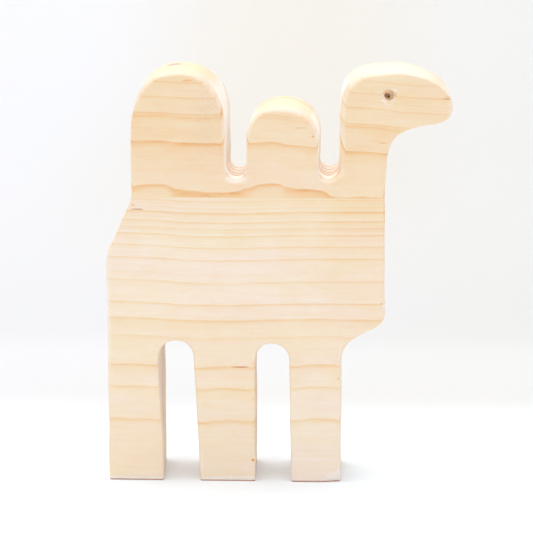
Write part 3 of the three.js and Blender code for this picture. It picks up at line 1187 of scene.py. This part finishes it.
CAMERA_AZIMUTH = 2.4          # degrees to the figure's front of the square view
CAMERA_ELEVATION = 12.1
CAMERA_DISTANCE = 0.8547
CAMERA_TARGET = (-0.00473, 0.0, 0.07685)
FIELD_OF_VIEW = 12.88         # degrees

STAGE_NEAR = (0.885, 0.92, 0.96)      # colour of the floor round the figure
STAGE_LEFT = (1.05, 1.05, 1.085)      # tints of the stage beyond the figure, painted light
STAGE_MIDDLE = (1.03, 0.985, 0.92)
STAGE_RIGHT = (1.027, 1.022, 1.01)
# How light it is there: distance behind the figure's mid-plane, tone
STAGE_TONE = (
    (40.0, 0.69), (100.0, 0.65), (160.0, 0.655), (230.0, 0.62), (400.0, 0.635),
    (700.0, 0.665), (1000.0, 0.695), (1200.0, 0.715), (1500.0, 0.745))


def make_camera():
    data = bpy.data.cameras.new("camera")
    data.sensor_fit = "HORIZONTAL"
    data.angle = math.radians(FIELD_OF_VIEW)
    data.clip_start = 0.01
    camera = bpy.data.objects.new("camera", data)
    bpy.context.scene.collection.objects.link(camera)
    azimuth, elevation = math.radians(CAMERA_AZIMUTH), math.radians(CAMERA_ELEVATION)
    backwards = Vector((
        math.sin(azimuth) * math.cos(elevation),
        -math.cos(azimuth) * math.cos(elevation),
        math.sin(elevation)))
    camera.location = Vector(CAMERA_TARGET) + CAMERA_DISTANCE * backwards
    camera.rotation_euler = backwards.to_track_quat("Z", "Y").to_euler()
    bpy.context.scene.camera = camera


def soft_light(name, location, aim, size, power, colour):
    data = bpy.data.lights.new(name, "AREA")
    data.shape = "RECTANGLE"
    data.size, data.size_y = size
    data.energy = power
    data.color = colour
    light = bpy.data.objects.new(name, data)
    light.location = location
    direction = Vector(location) - Vector(aim)
    light.rotation_euler = direction.to_track_quat("Z", "Y").to_euler()
    bpy.context.scene.collection.objects.link(light)


def make_stage():
    """A pale floor that sweeps up into a backdrop; beyond the figure it gets greyer and tinted,
    painted light that falls off with distance and from side to side.
    """
    front, back, side, height, radius = -1.6, 1.5, 2.2, 2.2, 0.7
    profile = [(front, 0.0)]
    for k in range(13):
        angle = 0.5 * math.pi * k / 12
        profile.append((back + radius * (math.sin(angle) - 1.0), radius * (1.0 - math.cos(angle))))
    profile.append((back, height))
    verts = [(x, y, z) for y, z in profile for x in (-side, side)]
    quads = [(2 * k, 2 * k + 1, 2 * k + 3, 2 * k + 2) for k in range(len(profile) - 1)]
    mesh = bpy.data.meshes.new("stage")
    mesh.from_pydata(verts, [], quads)
    mesh.polygons.foreach_set("use_smooth", [True] * len(quads))
    stage = bpy.data.objects.new("stage", mesh)
    bpy.context.scene.collection.objects.link(stage)
    paint = Paint("pale_stage")
    far = paint.step(25.0, 110.0, paint.y)
    sides = paint.blend(paint.step(-250.0, 150.0, paint.x), STAGE_LEFT, STAGE_RIGHT)
    middle = paint.step(-200.0, -50.0, paint.x) * paint.step(130.0, 0.0, paint.x)
    tint = paint.blend(middle * paint.step(250.0, 700.0, paint.y), sides, STAGE_MIDDLE)
    backdrop = paint.blend(1.0, tint, paint.curve(paint.y, STAGE_TONE), "MULTIPLY")
    colour = paint.blend(far, STAGE_NEAR, backdrop)
    paint.put(paint.shader.inputs["Base Color"], colour)
    paint.put(paint.shader.inputs["Roughness"], 0.9)
    mesh.materials.append(paint.material)


def make_light():
    world = bpy.data.worlds.new("studio")
    world.use_nodes = True
    background = world.node_tree.nodes["Background"]
    background.inputs["Color"].default_value = (0.96, 0.98, 1.0, 1.0)
    background.inputs["Strength"].default_value = 0.63
    bpy.context.scene.world = world
    warm = (1.0, 0.995, 0.985)
    soft_light("overhead", (-0.27, 0.15, 1.6), (0.0, 0.0, 0.0), (1.9, 2.0), 28.4, warm)
    soft_light("front", (-0.3, -1.5, 0.8), (0.0, 0.0, 0.07), (1.2, 0.9), 1.7, warm)
    soft_light("right", (0.95, -1.2, 0.7), (0.0, 0.0, 0.05), (0.8, 0.8), 2.6, warm)
    bpy.context.scene.view_settings.view_transform = "Standard"


# ---------------- the scene

pieces = build_pieces()
pieces["lower_stave"].data.materials.append(wood(LOWER))
pieces["upper_stave"].data.materials.append(wood(UPPER))
pieces["glue_seam"].data.materials.append(glue())
make_stage()
make_light()
make_camera()
